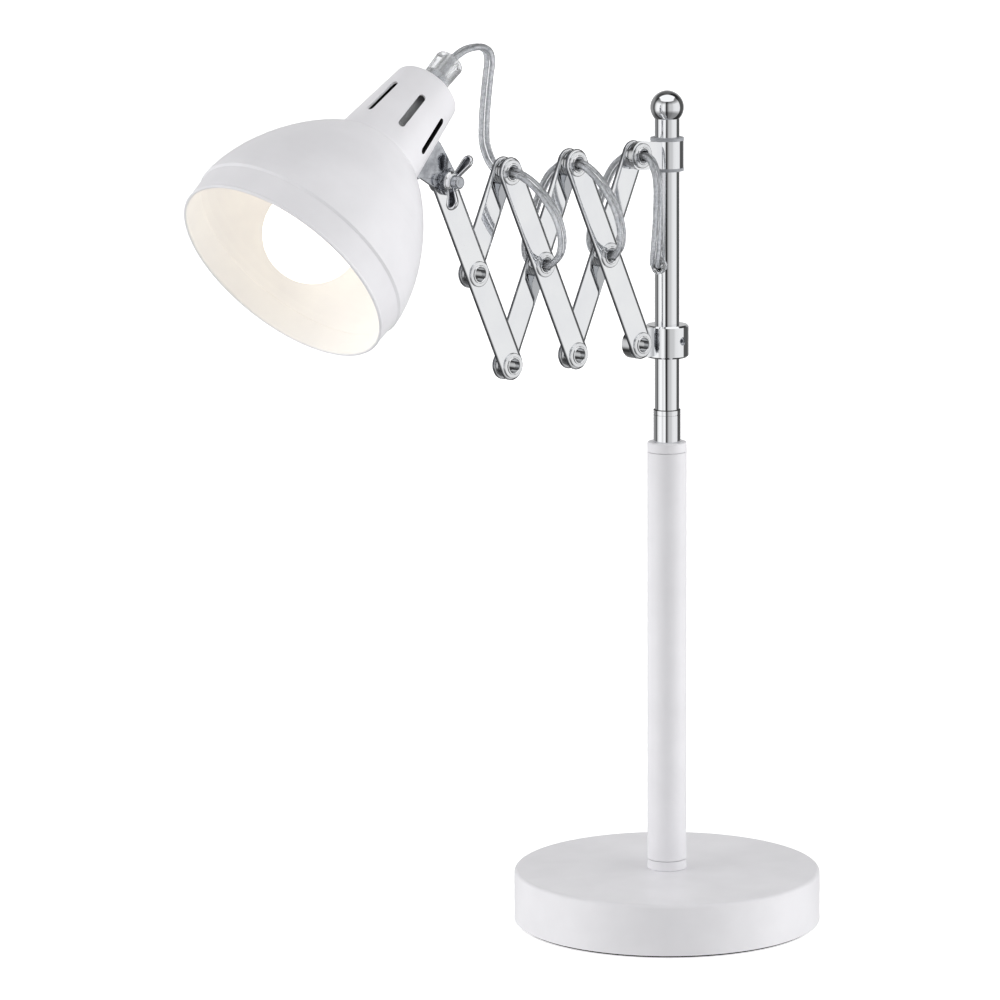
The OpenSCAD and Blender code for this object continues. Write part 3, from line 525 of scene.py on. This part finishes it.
def stretch(name, path, frames, ends, place, node):
    """One piece of cord in a CAD node's place: its clear sheath and its two
    cores. place is called with each of them: it puts it on a body or leaves it where it
    is."""
    section = sheath_ring()
    sheath = sweep(name, path, frames, lambda i: section, "sheath", ends)
    cores = [sweep(f"{name}_core_{k}", path, frames, core_ring(side, path), "core",
                   ends) for k, side in ((1, -1), (2, 1))]
    for piece in (sheath, *cores):
        place(piece)
    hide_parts(node)


def whole_cord(name, points, wide, body, node):
    """A stretch that moves with one body."""
    path = smooth_path(points)
    stretch(name, path, ways(path, wide), (True, True),
            lambda piece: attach(piece, body), node)


def split_cord(names, points, wide, at, bodies, node):
    """A stretch across two joints, as two pieces that meet at one of the points.
    Neither piece is put on a body."""
    path = smooth_path(points)
    frames = ways(path, wide)
    cut = min(range(len(path)), key=lambda i: (path[i] - points[at]).length)
    for name, lo, hi, pair, ends in (
            (names[0], 0, cut + 1, bodies[:2], (True, False)),
            (names[1], cut, len(path), bodies[1:], (False, True))):
        part = path[lo:hi]
        stretch(name, part, frames[lo:hi], ends, lambda piece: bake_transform(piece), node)


# Which way the wide side looks at a stretch's start, middle and end
HEAD_WIDE = [(0.4, 0.9, 0), (-0.75, 0.65, 0), (-0.75, 0.65, 0)]
POST_WIDE = [(1, 0, 0), (1, 0, 0), (0, -1, 0)]
HIDDEN_WIDE = [(0, -1, 0)] * 3
# The points of a stretch's route at which it is split
HEAD_SPLIT, POST_SPLIT = 10, 5
# Half of the gap between the two hidden stretches, which turn on each other
JOINT_GAP = 0.00005


def make_cords():
    for node, a, b, route, side, bulge, body in (
            ("flex_loop_outer", top_pivot(2), mid_pivot(2), LOOP_ROUTE, -1,
             LOOP_BULGE, "middle_front_bar"),
            ("flex_loop_inner", top_pivot(1), mid_pivot(1), LOOP_ROUTE, -1, 1,
             "inner_front_bar"),
            ("flex_back_outer", mid_pivot(2), top_pivot(1), BACK_ROUTE, 1, 1,
             "middle_back_bar"),
            ("flex_back_inner", mid_pivot(1), top_pivot(0), BACK_ROUTE, 1, 1,
             "inner_back_bar")):
        d = (b - a).normalized()
        across = (-d.z, 0, d.x)
        whole_cord("cord_" + node.removeprefix("flex_"),
                   bar_cord(a, b, route, side, bulge), (across,) * 3, body, node)

    foot, axis = head_foot()
    end = top_pivot(2)
    head = ([foot + axis * (out / 1000) for out in (GRIP_FROM_MM, GRIP_END_MM)]
            + away(end, HEAD_ROUTE)
            + [end + Vector((0, EYELET_RUN_MM / 1000, 0)), end])
    split_cord(("cord_head_top", "cord_head_drop"), head, HEAD_WIDE, HEAD_SPLIT,
               ("head", "outer_front_bar", "outer_back_bar"), "flex_head")

    start, hole = top_pivot(0), Vector((0, 0, CORD_HOLE_MM)) / 1000
    entry = hole - Vector((ROD_ENTRY_MM, 0, 0)) / 1000
    post = [start] + away(start, POST_ROUTE) + [entry]
    split_cord(("cord_post_top", "cord_post_foot"), post, POST_WIDE, POST_SPLIT,
               ("inner_back_bar", "inner_front_bar", "mast"), "flex_post")

    # Hidden in the rod, the post and the base
    joint, gap = Vector((0, 0, CORD_JOINT_MM)) / 1000, Vector((0, 0, JOINT_GAP))
    whole_cord("cord_rod", [entry] + away(hole, ROD_ROUTE) + [joint + gap],
               HIDDEN_WIDE, "mast", "flex_rod")
    whole_cord("cord_base", [joint - gap] + away(Vector(), BASE_ROUTE + [GLAND_MM]),
               HIDDEN_WIDE, "stand", "flex_base")


# ------------------------------------------------- bars, bolt and wing nut --
BAR_W_MM, BAR_T_MM, LAYER_MM = 14, 2, 1.5
EYELET_HOLE_MM, BOLT_HOLE_MM = 4.05, 3.01
# How a stamped bar's faces roll over to its edge, as (in from the edge, down)
ROLL = [(2.2, 0), (1.9, 0), (1.6, 0.016), (1.2, 0.051), (0.8, 0.107),
        (0.5, 0.176), (0.25, 0.277), (0.1, 0.403), (0, 0.68)]
BAR_END_STEPS, BAR_HOLE_STEPS = 24, 48


def finished(name, bm, materials, body, node, sharp):
    """Make the object that takes a CAD node's place. sharp is the angle, in
    degrees, from which an edge isn't shaded smooth."""
    bmesh.ops.recalc_face_normals(bm, faces=bm.faces)
    mesh = bpy.data.meshes.new(name)
    bm.to_mesh(mesh)
    bm.free()
    mesh.shade_smooth()
    mesh.set_sharp_from_angle(angle=math.radians(sharp))
    for material in materials:
        mesh.materials.append(MATERIALS[material])
    obj = bpy.data.objects.new(name, mesh)
    scene.collection.objects.link(obj)
    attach(obj, body)
    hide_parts(node)


def turns(n):
    """The angles of n even steps round a circle."""
    return [2 * math.pi * k / n for k in range(n)]


def strip(bm, a, b, material=0):
    """Faces between two closed rows of vertices."""
    n = len(a)
    for k in range(n):
        face = bm.faces.new((a[k], a[(k + 1) % n], b[(k + 1) % n], b[k]))
        face.material_index = material


def bar(node, a, b, layer, holes, body):
    """A stamped bar from pivot a to pivot b, with a hole of each radius. Layer 1
    is in front of the pivots' middle, and layer -1 behind it."""
    bm = bmesh.new()
    u = (b - a).normalized()
    v = Vector((-u.z, 0, u.x))
    mid = Vector((0, -layer * (LAYER_MM + BAR_T_MM / 2) / 1000, 0))
    reach = (b - a).length

    def row(inset, y):
        r = BAR_W_MM / 2000 - inset / 1000
        out = []
        for end, start in ((reach, -90), (0, 90)):
            for k in range(BAR_END_STEPS + 1):
                t = math.radians(start + 180 * k / BAR_END_STEPS)
                out.append(bm.verts.new(a + mid + u * (end + r * math.cos(t))
                                        + v * r * math.sin(t) + Vector((0, y, 0))))
        return out

    half = BAR_T_MM / 2000
    front = [row(i, d / 1000 - half) for i, d in ROLL]
    back = [row(i, half - d / 1000) for i, d in ROLL]
    for rows in (front, back):
        for k in range(len(rows) - 1):
            strip(bm, rows[k], rows[k + 1], int(k == len(rows) - 2))
    strip(bm, front[-1], back[-1], 1)
    rims = []
    for side, rows in ((-1, front), (1, back)):
        loops = [rows[0]]
        for k, hole in enumerate(holes):
            at = a + mid + u * reach * k / (len(holes) - 1)
            loops.append([bm.verts.new(
                at + u * hole / 1000 * math.cos(t) + v * hole / 1000 * math.sin(t)
                + Vector((0, side * half, 0)))
                for t in turns(BAR_HOLE_STEPS)])
        edges = []
        for loop in loops:
            for q, vert in enumerate(loop):
                pair = (vert, loop[(q + 1) % len(loop)])
                edges.append(bm.edges.get(pair) or bm.edges.new(pair))
        bmesh.ops.triangle_fill(bm, use_beauty=True, edges=edges)
        rims.append(loops[1:])
    for one, other in zip(*rims):
        strip(bm, one, other, 1)
    # The edges and the holes' walls take the edge metal, partly a painted dark reflection
    finished(node + "_stamped", bm, ("chrome", "edge"), body, node,
             sharp=50)


def make_bars():
    eye, bolt = EYELET_HOLE_MM, BOLT_HOLE_MM
    for node, a, b, layer, holes, body in (
            ("bar_front_inner", low_pivot(0), top_pivot(1), 1, (eye,) * 3,
             "inner_front_bar"),
            ("bar_front_middle", low_pivot(1), top_pivot(2), 1, (eye,) * 3,
             "middle_front_bar"),
            ("bar_front_outer", low_pivot(2), top_pivot(3), 1, (eye, eye, bolt),
             "outer_front_bar"),
            ("bar_back_inner", top_pivot(0), low_pivot(1), -1, (eye,) * 3,
             "inner_back_bar"),
            ("bar_back_middle", top_pivot(1), low_pivot(2), -1, (eye,) * 3,
             "middle_back_bar"),
            ("bar_back_outer", top_pivot(2), mid_pivot(3), -1, (eye, eye),
             "outer_back_bar")):
        bar(node, a, b, layer, holes, body)


TURNED_STEPS = 64


def turned(bm, at, rows, cut=None):
    """Revolve (y, radius) rows, in millimetres, round the bolt's line through
    at. cut(angle, y) is taken off the radius."""
    made = []
    for y, r in rows:
        ring = []
        for t in turns(TURNED_STEPS):
            q = (r - (cut(t, y) if cut else 0)) / 1000
            ring.append(bm.verts.new(at + Vector((q * math.cos(t), y / 1000,
                                                  q * math.sin(t)))))
        made.append(ring)
    for one, other in zip(made, made[1:]):
        strip(bm, one, other)
    return made


# The bolt's profile as (y, radius), in millimetres
BOLT_HEAD = [(1.7, 0.5), (1.7, 5.3), (1.45, 5.6), (-1.3, 5.6), (-1.5, 5.4),
             (-1.5, 3.0)]
BOLT_TIP = [(-13.55, 2.9), (-13.8, 2.7), (-13.97, 2.45), (-14, 2.2), (-13.95, 1.6),
            (-13.9, 0.4)]
SHANK_FROM, SHANK_TO, SHANK_R = -1.5, -14, 3.0
# The thread: its pitch, depth, rows to a turn, and how far it takes to reach its
# depth at the head and at the tip
THREAD_PITCH, THREAD_DEPTH, THREAD_STEPS, THREAD_TURNS = 1.0, 0.36, 10, 12
RUN_IN, RUN_OUT = 0.3, 0.5


def make_bolt():
    bm = bmesh.new()
    at = top_pivot(3)
    head = turned(bm, at, BOLT_HEAD)
    bm.faces.new(head[0])

    def cut(t, y):
        phase = (y / THREAD_PITCH + t / (2 * math.pi)) % 1
        depth = min(1, max(0, (y - SHANK_TO) / RUN_OUT),
                    max(0, (SHANK_FROM - y) / RUN_IN))
        return THREAD_DEPTH * depth * (1 - abs(2 * phase - 1)) ** 0.8

    step = THREAD_PITCH / THREAD_STEPS
    rows = [(SHANK_FROM - step * k, SHANK_R)
            for k in range(THREAD_TURNS * THREAD_STEPS + 1)]
    shank = turned(bm, at, rows, cut)
    tip = turned(bm, at, BOLT_TIP)
    strip(bm, shank[-1], tip[0])
    bm.faces.new(tip[-1])
    finished("pivot_bolt_threaded", bm, ("zinc",), "outer_front_bar",
             "pivot_bolt", sharp=80)


# Wing: centre as (out, along) and radius of its root and tip, and its section
# from the rim to the dished face, as (in from the outline, up)
WING = [((3.6, 2.3), 1.9), ((10.3, 5.9), 3.4)]
WING_RIM = [(0.08, 0.42), (0.3, 0.75), (0.6, 0.95), (0.85, 0.99), (1.1, 0.9),
            (1.3, 0.68), (1.45, 0.42), (1.65, 0.28), (2.0, 0.24), (2.7, 0.2)]
WING_ANGLE = math.radians(62)
WING_TIP_STEPS, WING_ROOT_STEPS = 20, 12
# The row of WING_RIM from which the faces are in the dish, whose darker chrome is a
# painted dark reflection
DISH_ROW = 5
# The hub's profile as (out from the seat, radius)
HUB = [(0, 3.05), (0, 4.8), (0.2, 5), (1.0, 5), (1.2, 4.75), (1.3, 4.6), (2.9, 4.25),
       (3.1, 4.1), (3.2, 3.9), (3.2, 3.3), (3.0, 3.05)]


def make_wing_nut():
    bm = bmesh.new()
    at = top_pivot(3)
    seat = -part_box("wing_nut")[1].y * 1000
    turned(bm, at, [(-seat - y, r) for y, r in HUB])
    (c0, r0), (c1, r1) = WING
    run = (c1[0] - c0[0], c1[1] - c0[1])
    d = math.hypot(*run)
    lean = math.atan2(run[1], run[0])

    def outline(inset):
        """Two arcs and the straight lines between them, inset from the rim."""
        s0, s1 = r0 * (1 - inset / r1), r1 - inset
        b = math.acos((s0 - s1) / d)
        out = []
        for c, r, t0, t1, n in (
                (c1, s1, lean - b, lean + b, WING_TIP_STEPS),
                (c0, s0, lean + b, lean + 2 * math.pi - b, WING_ROOT_STEPS)):
            for k in range(n + 1):
                t = t0 + (t1 - t0) * k / n
                out.append((c[0] + r * math.cos(t), c[1] + r * math.sin(t)))
        return out

    for turn in (0, math.pi):
        angle = WING_ANGLE + turn
        u = Vector((math.cos(angle), 0, math.sin(angle)))
        w = Vector((-math.sin(angle), 0, math.cos(angle)))
        sides = []
        for up in (1, -1):
            rows = [[bm.verts.new(at + u * p / 1000 + w * up * h / 1000
                                  - Vector((0, (seat + q) / 1000, 0)))
                     for p, q in outline(inset)] for inset, h in WING_RIM]
            for k, (one, other) in enumerate(zip(rows, rows[1:])):
                strip(bm, one, other, int(k >= DISH_ROW))
            bm.faces.new(rows[-1]).material_index = 1
            sides.append(rows[0])
        mid = [bm.verts.new(at + u * p / 1000 - Vector((0, (seat + q) / 1000, 0)))
               for p, q in outline(0)]
        strip(bm, sides[0], mid)
        strip(bm, sides[1], mid)
    finished("wing_nut_cast", bm, ("nickel", "dish"), "wing_nut_body",
             "wing_nut", sharp=55)


# --------------------------------------------------------- floor and light --
FLOOR_GLOW, FLOOR_R, FLOOR_Z = 0.6, 6, -0.0003


def make_floor():
    bpy.ops.mesh.primitive_circle_add(vertices=96, radius=FLOOR_R, fill_type="NGON",
                                      location=(0, 0, FLOOR_Z))
    floor = bpy.context.object
    floor.name = "floor"
    m, shader, n, at = new_material("pale_floor")
    n.put(shader, "Base Color", n.ramp(n.noise(at, 3, 2),
                                       [(0.3, srgb(0.95, 0.95, 0.955)),
                                        (0.7, srgb(0.96, 0.96, 0.965))]))
    n.put(shader, "Roughness", 0.9)
    n.put(shader, "Emission Color", (1, 1, 1, 1))
    n.put(shader, "Emission Strength", FLOOR_GLOW)
    floor.data.materials.append(m)
    floor.visible_glossy = False
    floor.visible_diffuse = False


# Studio round the lamp, as (degrees from the camera's side, brightness): what
# shows in polished parts, and what lights dull ones. Camera rays see the backdrop
REFLECTED = [(-180, 0.55), (-162, 0.55), (-145, 0.33), (-118, 0.3), (-110, 0.12),
             (-98, 0.12), (-90, 0.6), (-84, 0.85), (-72, 1.05), (-61, 1.09),
             (-51, 1.05), (-41, 0.72), (-31, 0.99), (-21, 1.07), (-12, 0.55),
             (-8, 0.02), (-3, 0.02), (5, 0.35), (16, 0.62), (35, 0.66),
             (45, 0.85), (66, 0.93), (93, 0.9), (96, 0.85), (99, 0.1),
             (138, 0.1), (150, 0.4), (165, 0.6), (180, 0.55)]
SOFT = [(-180, 0.9), (-130, 0.9), (-105, 1.1), (-85, 1.85), (-50, 1.85), (-32, 0.3),
        (28, 0.3), (45, 1.85), (82, 1.85), (105, 1.1), (130, 0.9), (180, 0.9)]
# How both change with height, as (place from straight down to straight up, factor)
RING_LIFT = [(0, 0.3), (0.22, 0.35), (0.36, 1), (0.68, 1), (0.8, 0.3), (1, 0.2)]
SOFT_DOME = [(0, 0.7), (0.45, 0.9), (0.52, 1.0), (0.76, 1.4), (0.9, 0.5), (1, 0.1)]
# The softbox over the lamp, on the camera's side: where its edges fade in, in
# height, to the front and to the sides, and how bright it is
BOX_LOW, BOX_FRONT, BOX_SIDE = (0.66, 0.7), (-0.2, -0.15), (0.6, 0.66)
OVERHEAD = (1.1, 1.1, 1.1)
BACKDROP = (1.0, 1.0, 1.0)


def make_world():
    world = bpy.data.worlds.new("studio")
    scene.world = world
    world.use_nodes = True
    world.node_tree.nodes.clear()
    n = Nodes(world.node_tree)
    way = n.add("TexCoord").outputs["Generated"]

    def along(v):
        node = n.add("VectorMath", operation="DOT_PRODUCT")
        n.put(node, 0, way)
        n.put(node, 1, v)
        return node.outputs["Value"]

    def maths(operation, *values):
        node = n.add("Math", operation=operation)
        for i, v in enumerate(values):
            n.put(node, i, v)
        return node.outputs[0]

    c, s = math.cos(CAMERA_YAW), math.sin(CAMERA_YAW)
    front, side = along((s, -c, 0)), along((c, s, 0))
    turn = n.range(maths("ARCTAN2", side, front), 0, 1, (-math.pi, math.pi))
    height = along((0, 0, 1))
    level = n.range(height, 0, 1, (-1, 1))
    over = maths("MULTIPLY", n.range(height, 0, 1, BOX_LOW),
                 maths("MULTIPLY", n.range(front, 0, 1, BOX_FRONT),
                       n.range(maths("ABSOLUTE", side), 1, 0, BOX_SIDE)))

    def times(a, b):
        node = n.add("VectorMath", operation="MULTIPLY")
        n.put(node, 0, a)
        n.put(node, 1, b)
        return node.outputs[0]

    def background(colour):
        node = n.add("Background")
        n.put(node, "Color", colour)
        return node.outputs[0]

    def mix(fac, a, b):
        node = n.add("MixShader")
        n.put(node, 0, fac)
        n.put(node, 1, a)
        n.put(node, 2, b)
        return node.outputs[0]

    def room(walls, heights):
        """Brightness round the lamp, times its change with height."""
        walls = n.ramp(turn, [(0.5 + d / 360, v) for d, v in walls])
        return background(times(walls, n.ramp(level, heights)))

    ray = n.add("LightPath")
    shown = mix(over, room(REFLECTED, RING_LIFT), background(OVERHEAD))
    lit = mix(ray.outputs["Is Diffuse Ray"], shown, room(SOFT, SOFT_DOME))
    seen = mix(ray.outputs["Is Camera Ray"], lit, background(BACKDROP))
    out = n.add("OutputWorld")
    world.node_tree.links.new(seen, out.inputs["Surface"])


# ------------------------------------------------------------------ main ----
scene.view_settings.view_transform = "Standard"
make_camera()
make_materials()
make_cords()
dress_nodes()
make_bars()
make_bolt()
make_wing_nut()
make_world()
make_floor()
